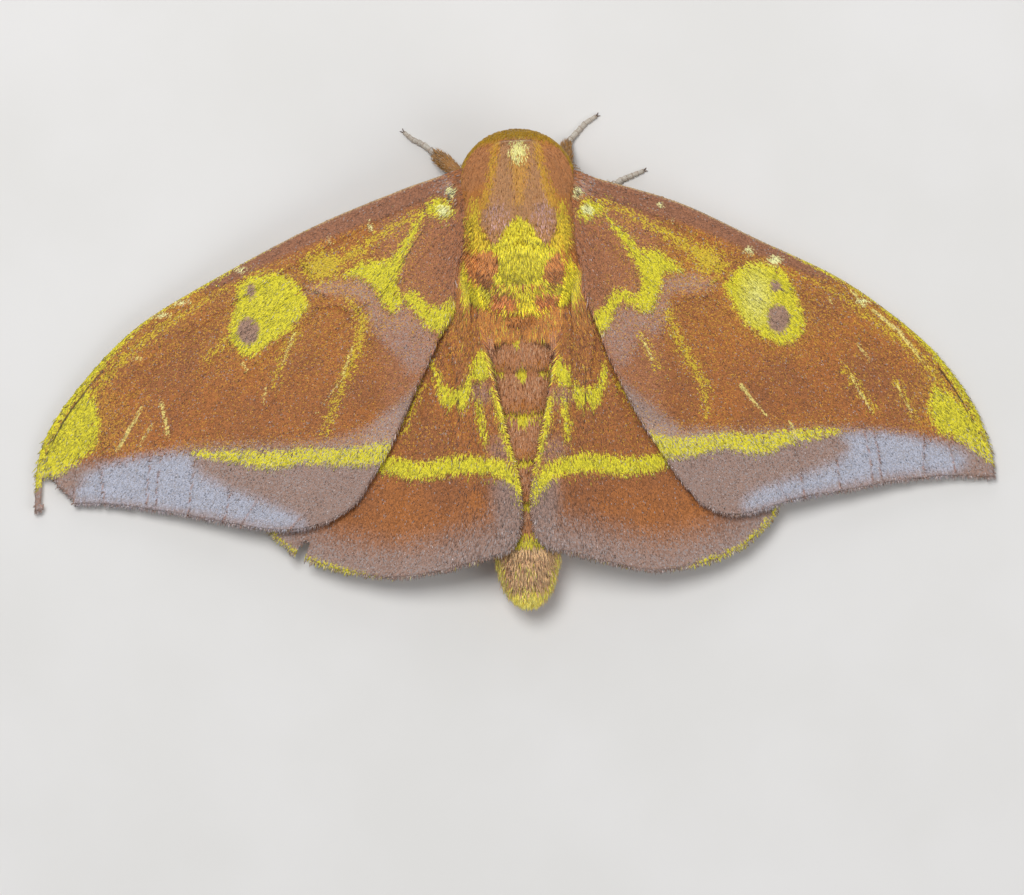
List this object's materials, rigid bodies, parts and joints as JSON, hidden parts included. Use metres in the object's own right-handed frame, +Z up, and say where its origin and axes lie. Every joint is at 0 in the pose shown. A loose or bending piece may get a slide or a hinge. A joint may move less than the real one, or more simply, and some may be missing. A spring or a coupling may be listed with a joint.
{
  "type": "silk moth at rest",
  "caption": "Life-size still model of a large silk moth resting with its wings spread like a shallow tent, standing on its feet on a flat surface.",
  "frame": {"origin": "on the floor plane, under the middle of the box around the whole moth", "axes": "+X towards the moth's right wing tip, +Y towards its head, +Z up from the floor towards its back"},
  "size_m": [0.115, 0.0582, 0.0154],
  "materials": {
    "wing": "fine matt scales, orange-brown with yellow bands and a lilac-grey margin",
    "coat": "short dense hair-like scales, brown and yellow",
    "collar_coat": "short dense hair-like scales, olive yellow",
    "eye": "dark, finely faceted, soft shine",
    "antenna": "dull ochre",
    "leg": "dull pale grey feet, ochre hair on the upper joints"
  },
  "bodies": {
    "root": {"thorax": "coat", "abdomen": "coat", "head": "coat", "collar": "collar_coat", "eye_left": "eye", "eye_right": "eye", "antenna_left": "antenna", "antenna_right": "antenna", "palp_left": "coat", "palp_right": "coat", "forewing_left": "wing", "forewing_right": "wing", "hindwing_left": "wing", "hindwing_right": "wing", "leg_fore_left": "leg", "leg_fore_right": "leg", "leg_mid_left": "leg", "leg_mid_right": "leg", "leg_hind_left": "leg", "leg_hind_right": "leg"}
  },
  "joints": []
}
